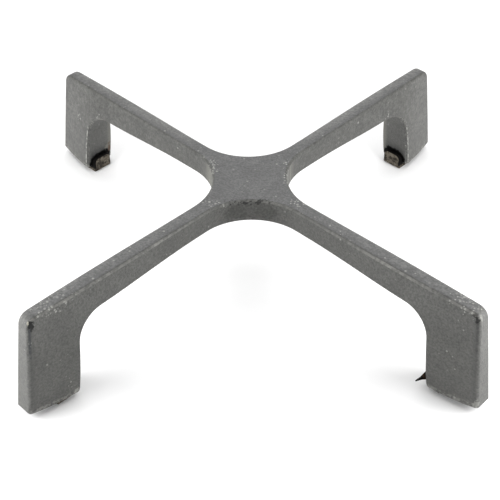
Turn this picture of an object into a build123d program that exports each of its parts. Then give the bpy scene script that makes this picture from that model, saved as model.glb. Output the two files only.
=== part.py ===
import os
from math import hypot, radians, tan

from build123d import *

os.makedirs("parts", exist_ok=True)

# Overall sizes, millimetres. The part stands on the plane z = 0, with its centre on the z axis.
leg_reach = 120.4  # centre to the outer bottom corner of a leg
support_height = 46.0  # floor to the top of the arm ends, before the shoulder is rounded
arm_angle = 45.0  # direction of the first arm, degrees from the x axis

# Arms and hub
arm_width = 6.9  # width of an arm
hub_flat = 33.0  # the top is level and the sides are parallel out to this radius
hub_dip = 0.9  # the hub lies this much below the arm ends
hub_depth = 10.5  # thickness of the hub; the underside is level from the hub to the legs
hub_hollow = 24.7  # radius of the hollows between neighbouring arms
under_radius = 12.0  # round between an arm's underside and its leg

# Legs
leg_lean = 8.5  # degrees, outwards towards the floor
leg_width = 21.5  # radial width of a leg at the bottom
toe_rise = 1.0  # the outer bottom corner lies this much above the sole
sole_flat = 9.7  # the sole is level for this far from the inner face
toe_width = 8.0  # thickness of the outer end at the bottom
toe_top_width = 5.9  # thickness of the outer end at the top
heel_width = 14.4  # thickness of the inner face at the bottom
heel_mid_width = 13.5  # thickness of the inner face at half height
shoulder_radius = 4.6  # round at the outer top corner
heel_radius = 2.0  # round at the inner bottom corner
edge_round = 1.4  # round along the top edges and down the outer ends
edge_break = 0.9  # bevel along the soles, the inner faces and the undersides

# Feet
foot_drop = 1.8  # a foot reaches this far below its leg
foot_stand = 2.5  # the inner end of a foot stands this far inwards of its leg
foot_set_back = 2.0  # or this far outwards, where nothing of the foot shows inside the leg
foot_width = 9.4
foot_height = 7.2
foot_length = 7.3
foot_arch = 2.6  # round at the upper corners of a foot
foot_break = 0.5  # bevel round the inner end of a foot

# Torn strip on the front right foot
tear_level = 4.8  # the inner end is torn away below this height, lower towards the leg
strip_length = 4.6  # beyond the side of the foot
strip_height = 4.0  # at its root
strip_depth = 1.3  # at its root
strip_root = 2.2  # length of its root beyond the side of the foot
strip_neck = 0.9  # thickness where the root ends
strip_tip = 0.35  # thickness at its tip
strip_level = 4.5  # height of its middle above the floor
strip_seat = 1.0  # it starts this far inside the side of the foot

# Levels and distances that follow from the sizes above
leg_bottom = foot_drop
toe_level = leg_bottom + toe_rise
top_hub = support_height - hub_dip
under = top_hub - hub_depth
slope = tan(radians(leg_lean))
toe_top = leg_reach - (support_height - toe_level) * slope
heel_reach = leg_reach - leg_width
heel_under = heel_reach - (under - leg_bottom) * slope
half_arm = arm_width / 2
beyond = 3.0  # the sides run on this far past the outer end before they are cut
slack = 0.1  # edges this little below the hub's top still count as top edges


def heel_at(level):
    return heel_reach - (level - leg_bottom) * slope


def toe_at(level):
    return leg_reach - (level - toe_level) * slope


def from_axis(edge):
    return hypot(edge.center().X, edge.center().Y)


def on_a_side(edge):
    return abs(abs(edge.center().X) - abs(edge.center().Y)) > half_arm / 4


# Level outlines of a leg below its top: height, thickness at the heel, thickness at the toe
leg_outlines = [
    ((support_height + leg_bottom) / 2, heel_mid_width, (toe_top_width + toe_width) / 2),
    (0.0, heel_width, toe_width),
]

# One arm with its leg, pointing along x
with BuildPart() as arm:
    # The top outline has straight sides
    with BuildSketch(Plane.XY.offset(support_height)):
        with BuildLine():
            taper = (arm_width - toe_top_width) / 2 / (toe_top - hub_flat)
            tip_reach = toe_top + beyond
            half_tip = toe_top_width / 2 - taper * beyond
            Line((hub_flat, half_arm), (tip_reach, half_tip))
            Line((tip_reach, half_tip), (tip_reach, -half_tip))
            Line((tip_reach, -half_tip), (hub_flat, -half_arm))
            Line((hub_flat, -half_arm), (hub_flat, half_arm))
        make_face()
    # Lower down the sides swell towards the heel and narrow again to the outer end
    for level, heel, toe in leg_outlines:
        reach = heel_at(level)
        taper = (heel - toe) / 2 / (toe_at(level) - reach)
        tip_reach = toe_at(level) + beyond
        half_tip = toe / 2 - taper * beyond
        with BuildSketch(Plane.XY.offset(level)):
            with BuildLine():
                flank = [(hub_flat, half_arm), (reach, heel / 2), (tip_reach, half_tip)]
                Spline(flank, tangents=[(1, 0), (1, -taper)])
                Line((tip_reach, half_tip), (tip_reach, -half_tip))
                flank = [(tip_reach, -half_tip), (reach, -heel / 2), (hub_flat, -half_arm)]
                Spline(flank, tangents=[(-1, -taper), (-1, 0)])
                Line((hub_flat, -half_arm), (hub_flat, half_arm))
            make_face()
    loft()
    with BuildSketch(Plane.XY):
        with Locations((hub_flat / 2, 0)):
            Rectangle(hub_flat, arm_width)
    extrude(amount=support_height)
    # The side view is cut out of those sides
    with BuildSketch(Plane.XZ) as side:
        with BuildLine():
            shoulder = (toe_top, support_height)
            toe_point = (leg_reach, toe_level)
            sole_point = (heel_reach + sole_flat, leg_bottom)
            heel_point = (heel_reach, leg_bottom)
            crook = (heel_under, under)
            Polyline((hub_flat, top_hub), (0, top_hub), (0, under), crook, heel_point, sole_point)
            TangentArc(sole_point, toe_point, tangent=(1, 0))
            Line(toe_point, shoulder)
            Line(shoulder, (hub_flat, top_hub))
        make_face()
        fillet(side.vertices().sort_by_distance(shoulder)[0], radius=shoulder_radius)
        fillet(side.vertices().sort_by_distance(crook)[0], radius=under_radius)
        fillet(side.vertices().sort_by_distance(heel_point)[0], radius=heel_radius)
    extrude(amount=heel_width, both=True, mode=Mode.INTERSECT)


def foot_block(inner_end):
    """A plain foot under the leg that points along x, from this radius outwards."""
    with BuildPart() as block:
        with BuildSketch(Plane.YZ.offset(inner_end)):
            with Locations((0, foot_height / 2)):
                face = Rectangle(foot_width, foot_height)
            fillet(face.vertices().group_by(Axis.Y)[-1], radius=foot_arch)
        extrude(amount=foot_length)
    return block.part


def foot_with_bevel(block):
    """The same foot with a bevel round its inner end."""
    with BuildPart() as bevelled:
        add(block)
        chamfer(bevelled.faces().sort_by(Axis.X)[0].edges(), length=foot_break)
    return bevelled.part


standing_block = foot_block(heel_reach - foot_stand)
set_back_block = foot_block(heel_reach + foot_set_back)
standing_foot = foot_with_bevel(standing_block)
set_back_foot = foot_with_bevel(set_back_block)

# The front right foot has lost its lower inner end, and a torn strip tapers out sideways
with BuildPart() as torn_foot:
    add(standing_block)
    with BuildSketch(Plane.XZ):
        with BuildLine():
            inner = heel_reach - foot_stand - beyond
            outer = heel_reach + foot_set_back
            Line((inner, -beyond), (outer, -beyond))
            Line((outer, -beyond), (outer, tear_level / 2))
            Line((outer, tear_level / 2), (inner, tear_level))
            Line((inner, tear_level), (inner, -beyond))
        make_face()
    extrude(amount=foot_width, both=True, mode=Mode.SUBTRACT)
    strip_reach = heel_reach - foot_stand + strip_depth / 2
    with BuildSketch(Plane.XZ.offset(foot_width / 2 - strip_seat)):
        with Locations((strip_reach, strip_level)):
            Rectangle(strip_depth, strip_height)
    with BuildSketch(Plane.XZ.offset(foot_width / 2 + strip_root)):
        with Locations((strip_reach - strip_depth / 2, strip_level)):
            Rectangle(strip_neck, strip_neck)
    with BuildSketch(Plane.XZ.offset(foot_width / 2 + strip_length)):
        with Locations((strip_reach - strip_depth, strip_level)):
            Rectangle(strip_tip, strip_tip)
    loft(ruled=True)

with BuildPart() as support:
    with PolarLocations(0, 4, start_angle=arm_angle):
        add(arm.part)
    # Hollows between neighbouring arms
    corners = support.edges().filter_by(lambda e: from_axis(e) < arm_width)
    corners = corners.filter_by(lambda e: e.bounding_box().size.Z > hub_depth / 2)
    fillet(corners, radius=hub_hollow)
    # Each round runs along an arm top and down the outer end
    tops = support.edges().filter_by(on_a_side)
    tops = tops.filter_by(lambda e: e.bounding_box().min.Z > top_hub - slack)
    fillet(tops, radius=edge_round)
    # The bevel starts on the underside and runs on round the inner faces and the soles
    underside = support.faces().filter_by(Plane.XY).group_by(Axis.Z)[-2]
    chamfer(underside.edges().filter_by(on_a_side), length=edge_break)
    # Sockets for the feet
    with PolarLocations(0, 2, start_angle=arm_angle, angular_range=180):
        add(standing_block, mode=Mode.SUBTRACT)
    with PolarLocations(0, 1, start_angle=arm_angle + 180):
        add(set_back_block, mode=Mode.SUBTRACT)
    with PolarLocations(0, 1, start_angle=arm_angle + 270):
        add(standing_block, mode=Mode.SUBTRACT)

support.part.label = "support"
export_step(support.part, "parts/support.step")

with BuildPart() as foot_back_right:
    with PolarLocations(0, 1, start_angle=arm_angle):
        add(standing_foot)

foot_back_right.part.label = "foot_back_right"
export_step(foot_back_right.part, "parts/foot_back_right.step")

with BuildPart() as foot_back_left:
    with PolarLocations(0, 1, start_angle=arm_angle + 90):
        add(standing_foot)

foot_back_left.part.label = "foot_back_left"
export_step(foot_back_left.part, "parts/foot_back_left.step")

with BuildPart() as foot_front_left:
    with PolarLocations(0, 1, start_angle=arm_angle + 180):
        add(set_back_foot)

foot_front_left.part.label = "foot_front_left"
export_step(foot_front_left.part, "parts/foot_front_left.step")

with BuildPart() as foot_front_right:
    with PolarLocations(0, 1, start_angle=arm_angle + 270):
        add(torn_foot.part)

foot_front_right.part.label = "foot_front_right"
export_step(foot_front_right.part, "parts/foot_front_right.step")
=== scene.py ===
from math import radians, tan

import bmesh
import bpy
from mathutils import Matrix, Vector


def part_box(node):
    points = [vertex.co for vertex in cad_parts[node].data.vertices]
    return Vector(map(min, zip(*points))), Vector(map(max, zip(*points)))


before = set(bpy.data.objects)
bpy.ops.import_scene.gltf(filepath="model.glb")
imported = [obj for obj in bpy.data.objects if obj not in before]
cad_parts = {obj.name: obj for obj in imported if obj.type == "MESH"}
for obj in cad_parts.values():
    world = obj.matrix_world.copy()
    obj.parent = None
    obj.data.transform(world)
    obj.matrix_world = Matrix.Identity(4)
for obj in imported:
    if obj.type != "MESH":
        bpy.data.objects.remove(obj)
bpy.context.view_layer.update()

support_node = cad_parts["support"]
foot_nodes = [node for name, node in sorted(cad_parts.items()) if name.startswith("foot_")]


def mm(*values):
    """Millimetres as metres: one number, or a place."""
    metres = tuple(value / 1000 for value in values)
    return metres if len(metres) > 1 else metres[0]


# Legs and feet, as the casting has them
sole_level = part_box("support")[0][2]
toe_rise = mm(1.0)
toe_bottom = mm(120.4)
heel_bottom = mm(98.9)
leg_lean = radians(8.5)
leg_slope = tan(leg_lean)
toe_reach = toe_bottom + (sole_level + toe_rise) * leg_slope
heel_reach = heel_bottom + sole_level * leg_slope
foot_top = mm(7.2)
half_foot = mm(4.7)
foot_arch = mm(2.6)

# Coating, linear colours
# The sides darker and the tops lighter: painted shade and light
shaded_side_grey = (0.0735, 0.0735, 0.0680)
lit_top_grey = (0.0890, 0.0892, 0.0885)
pale_grey = (0.142, 0.142, 0.136)
# Pale grey for wear, and for painted highlights on rounds and along the sole
worn_and_lit_grey = (0.200, 0.198, 0.182)
speck_grey = (0.36, 0.36, 0.335)
# Dark grey for grime, and for painted shade along edges, on rounds and under the hub
grime_and_shade = (0.034, 0.034, 0.033)
# Black for pits, and for painted shadow round the feet
pit_and_shadow_black = (0.006, 0.006, 0.006)
blue_black = (0.026, 0.029, 0.032)
yellow_grey = (0.150, 0.148, 0.128)
rust_brown = (0.090, 0.053, 0.035)
bare_cream = (0.40, 0.385, 0.32)

# Rubber, linear colours
rubber_black = (0.0025, 0.0023, 0.0022)
rubber_worn = (0.009, 0.008, 0.007)
rubber_dust = (0.135, 0.119, 0.095)
rubber_dust_dark = (0.036, 0.031, 0.025)

# Single marks on the coating: place and reach in millimetres, ragged edge, colour and cover
coating_marks = [
    # painted shade on the hub front
    ((0.5, -15.0, 40.5), (14.0, 3.5, 4.4), 0.4, grime_and_shade, 0.22),
    # pit at the front right shoulder, and its worn rim
    ((79.3, -81.3, 44.2), (0.7, 0.8, 1.7), 1.4, speck_grey, 0.45),
    ((77.4, -81.0, 45.0), (0.9, 0.9, 0.8), 1.4, pit_and_shadow_black, 0.5),
    ((78.2, -81.9, 43.4), (0.9, 0.9, 1.9), 1.4, pit_and_shadow_black, 0.8),
    # chip at the front left shoulder, and bare metal beside it
    ((-77.6, -81.9, 43.6), (1.2, 1.2, 2.6), 1.0, pit_and_shadow_black, 0.95),
    ((-78.7, -81.5, 43.6), (0.4, 0.6, 1.9), 1.0, bare_cream, 0.7),
    # bare and brown bits on the inner face of the back left leg
    ((-65.6, 72.4, 9.8), (1.5, 1.5, 2.2), 1.8, yellow_grey, 0.9),
    ((-65.2, 73.2, 8.6), (1.1, 1.1, 2.6), 2.6, rust_brown, 0.85),
    # worn bottom corners of the front legs
    ((81.7, -87.1, 5.2), (1.2, 1.0, 1.8), 1.8, speck_grey, 0.5),
    ((-66.1, -76.2, 3.9), (0.9, 0.9, 1.0), 1.6, speck_grey, 0.6),
]

# Pits along the top edge of the hub's front, in millimetres
pit_row_place = (0.6, -15.3, 44.2)
pit_row_reach = (12.0, 1.1, 0.95)

# Dirty outer edges of the front legs: place and reach in millimetres, and colour
dirty_edges = [
    ((-78.6, -83.1, 37.0), (3.0, 3.0, 9.0), blue_black),
    ((78.6, -83.1, 37.0), (3.0, 3.0, 9.0), grime_and_shade),
]

# Where pale specks crowd: place and reach in millimetres, and the share of spots that carry one
speck_crowds = [
    # hub corners
    ((-15.0, 7.5, 45.1), (2.6, 6.5, 2.0), 0.9),
    ((14.8, 3.5, 45.1), (1.8, 10.0, 2.0), 0.9),
    ((-13.5, -16.5, 45.1), (6.0, 2.2, 2.0), 0.9),
    ((18.5, -16.8, 45.1), (4.0, 2.4, 2.0), 0.9),
    # front arms
    ((35.3, -37.0, 45.3), (4.0, 4.0, 2.0), 0.3),
    ((-72.0, -74.0, 45.9), (9.0, 9.0, 3.5), 0.85),
    ((76.0, -76.6, 45.9), (7.0, 7.0, 3.5), 0.85),
    # legs
    ((-66.8, -76.6, 7.0), (2.5, 2.5, 6.0), 0.3),
    ((-78.6, -83.2, 36.5), (0.8, 0.8, 2.6), 0.7),
    ((70.0, -78.0, 22.0), (4.0, 3.0, 9.0), 0.12),
    ((-67.0, 59.0, 34.0), (3.0, 3.0, 2.6), 0.45),
    ((-77.0, 69.5, 27.0), (1.8, 1.8, 3.0), 0.5),
    ((63.0, 56.5, 39.0), (2.2, 1.8, 4.5), 0.45),
]

# Torn rubber of the front right foot, in millimetres
tear_place = (65.6, -72.6, 4.2)
tear_reach = (1.6, 1.6, 2.6)

# Stretches over which a layer comes in, from none to full
arm_from_hub = mm(28, 45)
front_to_back = mm(-25, 25)
rough_end_along = mm(70, 105)
lit_leg_along = mm(88, 112)
shaded_arm_along = mm(100, 80)
arm_side_levels = mm(29, 36)
arm_side_along = mm(40, 70)
far_highlight_across = mm(-3.2, 3.4)
near_shade_across = mm(0.6, -2.6)
groove_shade_along = mm(95, 75)
ridge_along = mm(30, 62)
heel_line_levels = mm(29, 24)
sole_rise_along = mm(106, 121)
inner_darker_levels = mm(22, 8)
inner_pale_across = mm(3.4, 6.0)
hollow_along = mm(26, 18)
hollow_right = mm(13.5, 15.5)
hollow_across = mm(2.0, 6.0)

# Lines that come in and go out again, by distance or by the way the surface faces
heel_line = mm(0.5, 0.9, 1.3, 2.0)
sole_highlight_line = mm(0.3, 0.8, 1.8, 3.2)
toe_shade = mm(0.7, 1.0, 1.7, 3.2)
toe_line = mm(0.35, 0.6, 1.1, 1.7)
groove_shade_up = (0.70, 0.86, 0.97, 0.997)
ridge_up = (0.26, 0.42, 0.76, 0.91)
bevel_shade_out = (-0.95, -0.85, -0.55, -0.35)
crook_up = (-0.80, -0.60, -0.25, -0.10)

# Soot and painted shadow round the feet, and dust low on the rubber: edges, and how far they swing
soot_and_shadow_edge = mm(3.7, 2.5)
haze_edge = mm(8.5, 2.8)
haze_across = mm(6.6, 4.4)
soot_and_shadow_swing = mm(3.2)
dust_levels = mm(2.9, 2.1)
dust_swing = mm(2.0)

# Grain of the finishes, cells in a metre
coating_grain = 1150.0
coating_mottle = 110.0
coating_blotch = 520.0
wear_dots = 850.0
streak_spacing = 420.0
stretch_spacing = 75.0
speck_spacing = 900.0
mark_grain = 1000.0
crowd_grain = 300.0
rubber_grain = 1300.0
rubber_mottle = 620.0
floor_cloud = 3.0
streak_stretch = (1.0, 1.0, 0.08)

# Sheen, roughness and bump of the finishes
coating_sheen = 0.5
coating_roughness = (0.48, 0.64)
dull_roughness = 0.3
coating_bump = {"strength": 0.7, "depth": mm(0.25)}
lump_height = 1.6
rubber_sheen = 0.06
rubber_roughness = 0.7
rubber_bump = {"strength": 0.5, "depth": mm(0.2)}
floor_sheen = 0.1
floor_roughness = 0.9

# Light, metres and watts
side_light_place = (0.24, -0.10, 0.11)
side_light_radius = 0.09
left_power = 2.3
right_power = 2.4
top_light = {"place": (0, 0.15, 0.95), "aim": (0, 0, 0), "width": 1.2, "height": 1.0, "power": 7.6}
back_light = {"place": (0, 0.9, 0.5), "aim": (0, 0, 0.04), "width": 1.6, "height": 0.7, "power": 5.2}
sky_strength = 0.25
floor_size = 2.5
floor_white = (0.93, 0.93, 0.93)
floor_paler = (0.95, 0.95, 0.95)

# Camera, metres and millimetres
camera_place = Vector((-0.00642, -0.36111, 0.31851))
camera_right = Vector((0.999843, -0.017706, 0.000097))
camera_up = Vector((0.011504, 0.653715, 0.756653))
camera_back = Vector((-0.013461, -0.756534, 0.653816))
lens_length = 80.83
sensor_width = 36.0

# Nodes are laid out in rows, in the order in which they are made
nodes_in_row = 14
node_width = 190
node_height = 170


# Small helpers for node trees

def add_node(tree, kind, **settings):
    """A node of this kind in the next free place, with its settings and the values of its sockets."""
    made = tree.nodes.new(kind)
    row, column = divmod(len(tree.nodes), nodes_in_row)
    made.location = (column * node_width, -row * node_height)
    for name, value in settings.items():
        if hasattr(made, name):
            setattr(made, name, value)
        else:
            made.inputs[name.replace("_", " ")].default_value = value
    return made


def feed(tree, socket, term):
    """Gives a socket a number, a place, a colour or another socket's value."""
    if isinstance(term, bpy.types.NodeSocket):
        tree.links.new(term, socket)
    elif socket.type == "RGBA":
        socket.default_value = (*term, 1.0)
    else:
        socket.default_value = term


def sums(tree, operation, *terms):
    """A Math node whose terms are sockets or numbers."""
    made = add_node(tree, "ShaderNodeMath", operation=operation)
    for socket, term in zip(made.inputs, terms):
        feed(tree, socket, term)
    return made.outputs["Value"]


def product(tree, *terms):
    """The product of several masks and numbers."""
    result = terms[0]
    for term in terms[1:]:
        result = sums(tree, "MULTIPLY", result, term)
    return result


def band(tree, value, low, high, start=0.0, end=1.0):
    """Runs smoothly from start to end while the value goes from low to high."""
    made = add_node(
        tree, "ShaderNodeMapRange", interpolation_type="SMOOTHSTEP",
        From_Min=low, From_Max=high, To_Min=start, To_Max=end,
    )
    feed(tree, made.inputs["Value"], value)
    return made.outputs["Result"]


def between(tree, value, low, rise, fall, high):
    """One between rise and fall, zero below low and above high."""
    return product(tree, band(tree, value, low, rise), band(tree, value, high, fall))


def mixed(tree, amount, under, over, blend="MIX"):
    """Two colours mixed by an amount."""
    made = add_node(tree, "ShaderNodeMix", data_type="RGBA", blend_type=blend)
    feed(tree, made.inputs["Factor"], amount)
    colour_inputs = [socket for socket in made.inputs if socket.type == "RGBA"]
    for socket, term in zip(colour_inputs, (under, over)):
        feed(tree, socket, term)
    return next(socket for socket in made.outputs if socket.type == "RGBA")


def noise(tree, place, scale, detail=2.0):
    """Soft noise about 0.5."""
    made = add_node(tree, "ShaderNodeTexNoise", Detail=detail)
    feed(tree, made.inputs["Vector"], place)
    feed(tree, made.inputs["Scale"], scale)
    return made.outputs["Fac"]


def split(tree, vector):
    """The three parts of a vector."""
    made = add_node(tree, "ShaderNodeSeparateXYZ")
    feed(tree, made.inputs[0], vector)
    return made.outputs


class Layers:
    """The base colour of a finish, laid on layer by layer."""

    def __init__(self, tree, colour):
        self.tree = tree
        self.colour = colour

    def lay(self, colour, *masks):
        """Lays a colour over what is there, by the product of masks and numbers."""
        self.colour = mixed(self.tree, product(self.tree, *masks), self.colour, colour)

    def shade(self, value):
        """Multiplies the colour by a value that changes over the surface."""
        self.colour = mixed(self.tree, 1.0, self.colour, value, "MULTIPLY")


# Groups that more than one finish or mark uses

def new_group(name, inputs, outputs):
    """An empty node group. Inputs are (name, kind, value) and outputs are names of values."""
    tree = bpy.data.node_groups.new(name, "ShaderNodeTree")
    for label, kind, value in inputs:
        socket = tree.interface.new_socket(label, in_out="INPUT", socket_type=kind)
        socket.default_value = value
    for label in outputs:
        tree.interface.new_socket(label, in_out="OUTPUT", socket_type="NodeSocketFloat")
    start = add_node(tree, "NodeGroupInput").outputs
    end = add_node(tree, "NodeGroupOutput").inputs
    return tree, start, end


def use_group(tree, group, **values):
    """Places a group in a tree with its own values."""
    made = add_node(tree, "ShaderNodeGroup", node_tree=group)
    for name, value in values.items():
        feed(tree, made.inputs[name], value)
    return made.outputs


def arm_directions():
    """Where a point lies on its arm, and which way the surface faces there."""
    tree, start, end = new_group(
        "arm_directions",
        [("Vector", "NodeSocketVector", (0, 0, 0)), ("Normal", "NodeSocketVector", (0, 0, 1))],
        ["Along", "Back", "Outward", "Sideways"],
    )
    half_root = 0.5 ** 0.5
    at = split(tree, start["Vector"])
    facing = split(tree, start["Normal"])
    size_x = sums(tree, "ABSOLUTE", at["X"])
    size_y = sums(tree, "ABSOLUTE", at["Y"])
    sign_x = sums(tree, "SIGN", at["X"])
    sign_y = sums(tree, "SIGN", at["Y"])
    out_x = product(tree, facing["X"], sign_x)
    out_y = product(tree, facing["Y"], sign_y)
    feed(tree, end["Along"], product(tree, sums(tree, "ADD", size_x, size_y), half_root))
    feed(tree, end["Back"], product(tree, sums(tree, "SUBTRACT", size_y, size_x), sign_y, half_root))
    feed(tree, end["Outward"], product(tree, sums(tree, "ADD", out_x, out_y), half_root))
    across = product(tree, sums(tree, "SUBTRACT", out_x, out_y), half_root)
    feed(tree, end["Sideways"], sums(tree, "ABSOLUTE", across))
    return tree


def sandy_grain():
    """Fine grain with a slow mottle, as tones about 0.5 and a height."""
    tree, start, end = new_group(
        "sandy_grain",
        [
            ("Vector", "NodeSocketVector", (0, 0, 0)),
            ("Grain", "NodeSocketFloat", coating_grain),
            ("Mottle", "NodeSocketFloat", coating_mottle),
        ],
        ["Tone", "Mottling", "Height"],
    )
    fine = add_node(tree, "ShaderNodeTexNoise", Detail=3.0, Roughness=0.65)
    slow = add_node(tree, "ShaderNodeTexNoise", Detail=4.0, Roughness=0.6)
    pores = add_node(tree, "ShaderNodeTexVoronoi", feature="F1")
    for texture in (fine, slow, pores):
        feed(tree, texture.inputs["Vector"], start["Vector"])
    feed(tree, fine.inputs["Scale"], start["Grain"])
    feed(tree, slow.inputs["Scale"], start["Mottle"])
    feed(tree, pores.inputs["Scale"], sums(tree, "MULTIPLY", start["Grain"], 0.7))
    hollow = band(tree, pores.outputs["Distance"], 0.0, 0.45, 0.0, 0.5)
    feed(tree, end["Tone"], fine.outputs["Fac"])
    feed(tree, end["Mottling"], slow.outputs["Fac"])
    feed(tree, end["Height"], sums(tree, "ADD", fine.outputs["Fac"], hollow))
    return tree


def ragged_patch():
    """A patch round a place, with a ragged edge: one inside and zero outside."""
    tree, start, end = new_group(
        "ragged_patch",
        [
            ("Vector", "NodeSocketVector", (0, 0, 0)),
            ("Place", "NodeSocketVector", (0, 0, 0)),
            ("Reach", "NodeSocketVector", (1, 1, 1)),
            ("Ragged", "NodeSocketFloat", 1.0),
            ("Grain", "NodeSocketFloat", mark_grain),
        ],
        ["Mask"],
    )
    offset = add_node(tree, "ShaderNodeVectorMath", operation="SUBTRACT")
    scaled = add_node(tree, "ShaderNodeVectorMath", operation="DIVIDE")
    length = add_node(tree, "ShaderNodeVectorMath", operation="LENGTH")
    feed(tree, offset.inputs[0], start["Vector"])
    feed(tree, offset.inputs[1], start["Place"])
    feed(tree, scaled.inputs[0], offset.outputs[0])
    feed(tree, scaled.inputs[1], start["Reach"])
    feed(tree, length.inputs[0], scaled.outputs[0])
    uneven = sums(tree, "SUBTRACT", noise(tree, start["Vector"], start["Grain"], 3.0), 0.5)
    swing = product(tree, uneven, start["Ragged"], 2.0)
    edge = sums(tree, "ADD", length.outputs["Value"], swing)
    feed(tree, end["Mask"], band(tree, edge, 1.15, 0.75))
    return tree


directions = arm_directions()
grain = sandy_grain()
patch = ragged_patch()


def patch_at(tree, surface, place, reach, ragged, scale=mark_grain):
    """A ragged patch at a place that is given in millimetres."""
    made = use_group(
        tree, patch, Vector=surface["place"],
        Place=mm(*place), Reach=mm(*reach), Ragged=ragged, Grain=scale,
    )
    return made["Mask"]


def scattered_specks(tree, surface, share):
    """Scattered specks of uneven size and strength: zero where there is none."""
    cells = add_node(tree, "ShaderNodeTexVoronoi", feature="F1", Scale=speck_spacing)
    feed(tree, cells.inputs["Vector"], surface["place"])
    lot = add_node(tree, "ShaderNodeSeparateColor")
    feed(tree, lot.inputs["Color"], cells.outputs["Color"])
    chosen = sums(tree, "LESS_THAN", lot.outputs["Red"], share)
    size = sums(tree, "MULTIPLY_ADD", lot.outputs["Green"], 0.3, 0.2)
    near = sums(tree, "LESS_THAN", cells.outputs["Distance"], size)
    return product(tree, chosen, near, band(tree, lot.outputs["Blue"], 0.0, 1.0, 0.35, 1.0))


def new_finish(name, **values):
    """A material with a Principled shader that has these values, and its object coordinates."""
    finish = bpy.data.materials.new(name)
    finish.use_nodes = True
    tree = finish.node_tree
    tree.nodes.clear()
    shader = add_node(tree, "ShaderNodeBsdfPrincipled", **values)
    output = add_node(tree, "ShaderNodeOutputMaterial")
    feed(tree, output.inputs["Surface"], shader.outputs["BSDF"])
    place = add_node(tree, "ShaderNodeTexCoord").outputs["Object"]
    return finish, tree, shader, place


def read_surface(tree, place, grain_scale, mottle_scale):
    """What the finishes read at a point: its place, which way it faces, and its grain."""
    normal = add_node(tree, "ShaderNodeNewGeometry").outputs["Normal"]
    arm = use_group(tree, directions, Vector=place, Normal=normal)
    sand = use_group(tree, grain, Vector=place, Grain=grain_scale, Mottle=mottle_scale)
    parts = split(tree, place)
    return {
        "place": place,
        "right": parts["X"],
        "ahead": parts["Y"],
        "level": parts["Z"],
        "up": split(tree, normal)["Z"],
        "along": arm["Along"],
        "back": arm["Back"],
        "out": arm["Outward"],
        "side": arm["Sideways"],
        "tone": sand["Tone"],
        "mottling": sand["Mottling"],
        "height": sand["Height"],
    }


def give_bump(tree, shader, height, strength, depth):
    """Roughens a finish by a height."""
    bump = add_node(tree, "ShaderNodeBump", Strength=strength, Distance=depth)
    feed(tree, bump.inputs["Height"], height)
    feed(tree, shader.inputs["Normal"], bump.outputs["Normal"])


# Layers of the coating on the casting

def find_regions(tree, surface):
    """Adds the masks and textures that several layers of the coating use."""
    surface["coarse"] = noise(tree, surface["place"], coating_blotch, 3.0)
    surface["dotted"] = band(tree, noise(tree, surface["place"], wear_dots), 0.46, 0.55)
    surface["broken"] = band(tree, surface["tone"], 0.40, 0.62)
    surface["upward"] = band(tree, surface["up"], 0.35, 0.70)
    surface["flank"] = band(tree, surface["side"], 0.85, 0.95)
    surface["inner face"] = band(tree, surface["out"], -0.80, -0.95)
    surface["beyond hub"] = band(tree, surface["along"], *arm_from_hub)
    surface["at back"] = band(tree, surface["ahead"], *front_to_back)
    surface["at front"] = band(tree, surface["at back"], 0.8, 0.2)
    surface["rough end"] = band(tree, surface["along"], *rough_end_along, 0.45, 1.0)
    # Distances from the leaning outer end of a leg, and from its leaning inner face
    leaning = sums(tree, "MULTIPLY_ADD", surface["level"], leg_slope, surface["along"])
    surface["from toe"] = sums(tree, "SUBTRACT", toe_reach, leaning)
    surface["from heel"] = sums(tree, "SUBTRACT", leaning, heel_reach)


def lay_greys(coat, surface):
    """Warm grey sides darker than the cooler tops, as painted shade and light; paler in places, mostly
    painted light, and darker on the back legs towards the hub, painted shade; with grain.
    """
    tree = coat.tree
    at_back = surface["at back"]
    # Tops lighter than the sides: painted light
    coat.lay(lit_top_grey, band(tree, surface["up"], 0.90, 0.985))
    # Outer ends, and the outer parts of the back legs, paler: painted light. The back legs darker towards
    # the hub: painted shade
    coat.lay(pale_grey, band(tree, surface["out"], 0.35, 0.70), 0.20)
    coat.lay(pale_grey, band(tree, surface["along"], *lit_leg_along), surface["flank"], at_back, 0.36)
    coat.lay(grime_and_shade, band(tree, surface["along"], *shaded_arm_along), surface["flank"], at_back, 0.10)
    # Sides of the front arms, above the legs
    above_legs = band(tree, surface["level"], *arm_side_levels)
    arm_side = product(tree, surface["flank"], surface["at front"], above_legs)
    coat.lay(pale_grey, arm_side, band(tree, surface["along"], *arm_side_along), 0.14)
    # Far side of each arm's top paler: a painted highlight, stronger on the back arms
    far_side_highlight = product(tree, band(tree, surface["back"], *far_highlight_across), surface["upward"])
    coat.lay(pale_grey, far_side_highlight, surface["beyond hub"], band(tree, at_back, 0.0, 1.0, 0.40, 0.95))
    # Grain everywhere, and coarser blotches on the tops and the back legs
    coat.shade(band(tree, surface["mottling"], 0.3, 0.7, 0.90, 1.10))
    coat.shade(band(tree, surface["tone"], 0.34, 0.66, 0.70, 1.30))
    rough_top = product(tree, surface["upward"], surface["rough end"])
    rough_flank = product(tree, surface["flank"], at_back, 0.75)
    plain = coat.colour
    coat.shade(band(tree, surface["coarse"], 0.32, 0.68, 0.78, 1.22))
    coat.colour = mixed(tree, sums(tree, "MAXIMUM", rough_top, rough_flank), plain, coat.colour)


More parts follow.
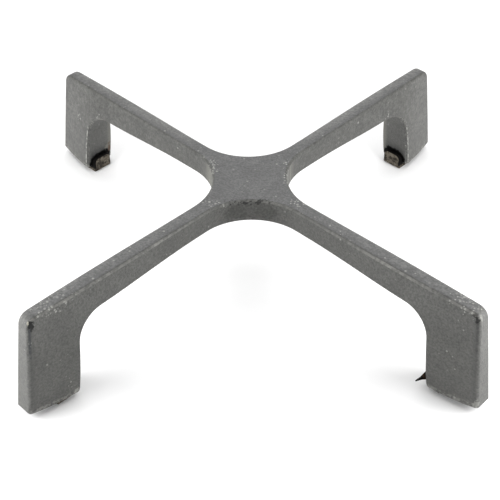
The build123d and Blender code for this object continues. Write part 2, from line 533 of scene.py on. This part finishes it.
def shade_and_wear_top_edges(coat, surface):
    """Painted shade along the near side of each top and in a groove inside the front arms' near top edges,
    and a ridge on the rounds that is partly worn and partly a painted highlight.
    """
    tree = coat.tree
    # Painted shade along the near side of each top
    near_side_shade = product(tree, band(tree, surface["back"], *near_shade_across), surface["beyond hub"])
    patchy = band(tree, surface["coarse"], 0.35, 0.65, 0.10, 0.26)
    coat.lay(grime_and_shade, near_side_shade, band(tree, surface["up"], 0.70, 0.86), patchy)
    # Painted shade: a dark groove on the round inside the near top edge of the front arms
    front_arm = product(tree, surface["at front"], band(tree, surface["along"], *groove_shade_along))
    groove_shade = product(tree, between(tree, surface["up"], *groove_shade_up), front_arm)
    stretches = band(tree, noise(tree, surface["place"], stretch_spacing), 0.38, 0.62, 0.75, 1.5)
    patchy = product(tree, band(tree, surface["coarse"], 0.35, 0.65, 0.0, 0.08), stretches)
    coat.lay(grime_and_shade, groove_shade, band(tree, surface["side"], 0.05, 0.2), patchy)
    # A pale ridge on the rounds: wear, and a painted highlight
    ridge = product(tree, between(tree, surface["up"], *ridge_up), band(tree, surface["side"], 0.3, 0.5))
    outer_half = band(tree, surface["along"], *ridge_along, 0.4, 1.0)
    worn_and_lit = product(tree, band(tree, surface["coarse"], 0.35, 0.6, 0.35, 1.0), stretches, outer_half)
    coat.lay(worn_and_lit_grey, ridge, worn_and_lit, band(tree, surface["at back"], 0.0, 1.0, 0.65, 0.12))


def shade_and_wear_leg_edges(coat, surface):
    """Dark bevels on the inner edges, dark dots and painted shade, pale broken lines beside them, a worn
    line at the crook, a painted highlight along the sole, painted shade beside the outer ends of the front
    legs, and dirt at the outer edges.
    """
    tree = coat.tree
    # Dark dots and painted shade on the bevels of the inner edges
    bevel_shade = product(tree, between(tree, surface["out"], *bevel_shade_out), band(tree, surface["side"], 0.3, 0.5))
    coat.lay(grime_and_shade, bevel_shade, surface["dotted"], 0.8)
    beside_heel = product(tree, between(tree, surface["from heel"], *heel_line), surface["flank"])
    low_back = product(tree, band(tree, surface["level"], *heel_line_levels), surface["at back"])
    coat.lay(speck_grey, beside_heel, low_back, surface["dotted"], 0.8)
    crook = product(tree, between(tree, surface["up"], *crook_up), band(tree, surface["side"], 0.25, 0.45))
    coat.lay(worn_and_lit_grey, crook, surface["broken"], 0.6)
    # The sole rises towards the outer end
    rise = product(tree, band(tree, surface["along"], *sole_rise_along), toe_rise)
    above_sole = sums(tree, "SUBTRACT", sums(tree, "SUBTRACT", surface["level"], rise), sole_level)
    # A painted highlight along the sole's edge, broken by dots
    sole_highlight = between(tree, above_sole, *sole_highlight_line)
    coat.lay(worn_and_lit_grey, sole_highlight, band(tree, surface["side"], 0.5, 0.8), surface["dotted"], 0.75)
    # Painted shade on the round beside the outer end of the front legs
    beside_toe_shade = product(tree, between(tree, surface["from toe"], *toe_shade), surface["at front"])
    coat.lay(grime_and_shade, beside_toe_shade, band(tree, surface["side"], 0.6, 0.9), 0.30)
    edge_line = between(tree, surface["from toe"], *toe_line)
    patchy = band(tree, surface["coarse"], 0.37, 0.55, 0.3, 0.9)
    for spot, reach, colour in dirty_edges:
        coat.lay(colour, patch_at(tree, surface, spot, reach, 0.5), edge_line, patchy)


def lay_soot_and_shadow(coat, surface):
    """Soot and painted shadow round each foot on the inner faces, under a haze of painted shade; the inner
    faces darker towards the bottom. Returns the mask of soot and painted shadow.
    """
    tree = coat.tree
    inner_face = surface["inner face"]
    # Distance from the rounded outline of the foot
    half_across = sums(tree, "ABSOLUTE", surface["back"])
    beside = sums(tree, "MAXIMUM", sums(tree, "SUBTRACT", half_across, half_foot - foot_arch), 0.0)
    above = sums(tree, "MAXIMUM", sums(tree, "SUBTRACT", surface["level"], foot_top - foot_arch), 0.0)
    squares = sums(tree, "ADD", product(tree, beside, beside), product(tree, above, above))
    from_foot = sums(tree, "SUBTRACT", sums(tree, "SQRT", squares), foot_arch)
    uneven = sums(tree, "MULTIPLY_ADD", surface["coarse"], soot_and_shadow_swing, from_foot)
    # Soot and painted shadow hug the foot, and a haze of painted shade fades upward from it
    soot_and_shadow = product(tree, band(tree, uneven, *soot_and_shadow_edge), inner_face)
    haze = product(tree, band(tree, uneven, *haze_edge), band(tree, half_across, *haze_across))
    # The inner faces darker towards the bottom
    coat.lay(grime_and_shade, inner_face, band(tree, surface["level"], *inner_darker_levels), 0.22)
    coat.lay(yellow_grey, inner_face, band(tree, surface["back"], *inner_pale_across), 0.75)
    coat.lay(pit_and_shadow_black, haze, inner_face, 0.6)
    coat.lay(pit_and_shadow_black, soot_and_shadow, 0.97)
    return soot_and_shadow


def streak_hollows(coat, surface):
    """Pale streaks down the walls of the left and right hollows of the hub."""
    tree = coat.tree
    drawn_out = add_node(tree, "ShaderNodeMapping", Scale=streak_stretch)
    feed(tree, drawn_out.inputs["Vector"], surface["place"])
    streaks = band(tree, noise(tree, drawn_out.outputs["Vector"], streak_spacing), 0.4, 0.62, 0.1, 0.8)
    wall = product(tree, band(tree, surface["along"], *hollow_along), band(tree, surface["up"], 0.5, 0.2))
    beside_hub = band(tree, sums(tree, "ABSOLUTE", surface["right"]), *hollow_right)
    between_arms = band(tree, sums(tree, "ABSOLUTE", surface["back"]), *hollow_across)
    coat.lay(yellow_grey, wall, beside_hub, between_arms, streaks)


def scatter_specks(coat, surface):
    """Pale specks: few on the sides, more on the tops, and crowded in places."""
    tree = coat.tree
    share = band(tree, surface["up"], 0.5, 0.9, 0.010, 0.035)
    for spot, reach, crowding in speck_crowds:
        crowd = patch_at(tree, surface, spot, reach, 1.0, crowd_grain)
        share = sums(tree, "MAXIMUM", share, product(tree, crowd, crowding))
    specks = scattered_specks(tree, surface, share)
    coat.lay(speck_grey, specks, band(tree, share, 0.05, 0.9, 0.45, 0.7))


def coated_iron():
    """Matte grey coating on a rough casting, worn pale along some edges, with painted light and shade on
    its tops, ends and edges.
    """
    finish, tree, shader, place = new_finish("coated_iron", Specular_IOR_Level=coating_sheen)
    surface = read_surface(tree, place, coating_grain, coating_mottle)
    find_regions(tree, surface)
    coat = Layers(tree, shaded_side_grey)
    lay_greys(coat, surface)
    shade_and_wear_top_edges(coat, surface)
    shade_and_wear_leg_edges(coat, surface)
    soot_and_shadow = lay_soot_and_shadow(coat, surface)
    dull = soot_and_shadow
    streak_hollows(coat, surface)
    scatter_specks(coat, surface)
    for spot, reach, ragged, colour, cover in coating_marks:
        mark = patch_at(tree, surface, spot, reach, ragged)
        coat.lay(colour, mark, cover)
        dull = sums(tree, "MAXIMUM", dull, mark)
    pits = product(tree, patch_at(tree, surface, pit_row_place, pit_row_reach, 1.6), surface["dotted"])
    coat.lay(pit_and_shadow_black, pits, 0.75)
    dull = sums(tree, "MAXIMUM", dull, pits)
    feed(tree, shader.inputs["Base Color"], coat.colour)
    satin = band(tree, surface["tone"], 0.3, 0.7, *coating_roughness)
    feed(tree, shader.inputs["Roughness"], sums(tree, "MULTIPLY_ADD", dull, dull_roughness, satin))
    # Soot and painted shadow have no sheen: as metal, their sheen is as black as their colour
    feed(tree, shader.inputs["Metallic"], soot_and_shadow)
    lumps = product(tree, surface["coarse"], surface["upward"], surface["rough end"])
    rough = sums(tree, "MULTIPLY_ADD", lumps, lump_height, surface["height"])
    give_bump(tree, shader, sums(tree, "SUBTRACT", rough, pits), **coating_bump)
    return finish


def black_rubber():
    """Black rubber that has gone brown and dusty on its inner ends and low down."""
    values = {"Specular_IOR_Level": rubber_sheen, "Roughness": rubber_roughness}
    finish, tree, shader, place = new_finish("black_rubber", **values)
    surface = read_surface(tree, place, rubber_grain, rubber_mottle)
    dust = Layers(tree, rubber_dust_dark)
    dust.lay(rubber_dust, band(tree, surface["mottling"], 0.40, 0.58))
    dust.shade(band(tree, surface["tone"], 0.3, 0.7, 0.70, 1.30))
    skin = Layers(tree, rubber_black)
    skin.lay(rubber_worn, band(tree, surface["tone"], 0.45, 0.75))
    skin.lay(dust.colour, band(tree, surface["out"], -0.75, -0.9))
    low = sums(tree, "MULTIPLY_ADD", surface["mottling"], dust_swing, surface["level"])
    skin.lay(dust.colour, band(tree, low, *dust_levels), 0.85)
    skin.lay(rust_brown, patch_at(tree, surface, tear_place, tear_reach, 2.4), 0.45)
    feed(tree, shader.inputs["Base Color"], skin.colour)
    give_bump(tree, shader, surface["height"], **rubber_bump)
    return finish


def dress(piece, finish):
    """Gives a piece one finish all over."""
    piece.data.materials.clear()
    piece.data.materials.append(finish)


dress(support_node, coated_iron())
rubber = black_rubber()
for foot in foot_nodes:
    dress(foot, rubber)


# Floor, light and camera

def pale_floor():
    """A plain sheet under the part."""
    values = {"Specular_IOR_Level": floor_sheen, "Roughness": floor_roughness}
    finish, tree, shader, place = new_finish("pale_floor", **values)
    sheet_white = Layers(tree, floor_white)
    sheet_white.lay(floor_paler, noise(tree, place, floor_cloud))
    feed(tree, shader.inputs["Base Color"], sheet_white.colour)
    sheet = bpy.data.meshes.new("floor")
    form = bmesh.new()
    bmesh.ops.create_grid(form, x_segments=1, y_segments=1, size=floor_size)
    form.to_mesh(sheet)
    form.free()
    floor = bpy.data.objects.new("floor", sheet)
    bpy.context.scene.collection.objects.link(floor)
    dress(floor, finish)


def hang_light(name, lamp, place, power):
    """Puts a lamp in the scene, where no view shows the lamp itself."""
    lamp.energy = power
    holder = bpy.data.objects.new(name, lamp)
    bpy.context.scene.collection.objects.link(holder)
    holder.location = place
    holder.visible_camera = False
    return holder


def round_light(name, place, power):
    lamp = bpy.data.lights.new(name, "POINT")
    lamp.shadow_soft_size = side_light_radius
    hang_light(name, lamp, place, power)


def panel_light(name, place, aim, width, height, power):
    lamp = bpy.data.lights.new(name, "AREA")
    lamp.shape = "RECTANGLE"
    lamp.size = width
    lamp.size_y = height
    holder = hang_light(name, lamp, place, power)
    holder.rotation_euler = (Vector(aim) - Vector(place)).to_track_quat("-Z", "Y").to_euler()


pale_floor()
side_x, side_y, side_z = side_light_place
round_light("light_left", (-side_x, side_y, side_z), left_power)
round_light("light_right", (side_x, side_y, side_z), right_power)
panel_light("light_top", **top_light)
panel_light("light_back", **back_light)

sky = bpy.data.worlds.new("studio")
sky.use_nodes = True
sky_shader = sky.node_tree.nodes["Background"]
sky_shader.inputs["Color"].default_value = (1, 1, 1, 1)
sky_shader.inputs["Strength"].default_value = sky_strength
bpy.context.scene.world = sky
bpy.context.scene.view_settings.view_transform = "Standard"

lens = bpy.data.cameras.new("camera")
lens.lens = lens_length
lens.sensor_width = sensor_width
camera = bpy.data.objects.new("camera", lens)
bpy.context.scene.collection.objects.link(camera)
turn = Matrix((camera_right, camera_up, camera_back)).transposed().to_4x4()
camera.matrix_world = Matrix.Translation(camera_place) @ turn
bpy.context.scene.camera = camera
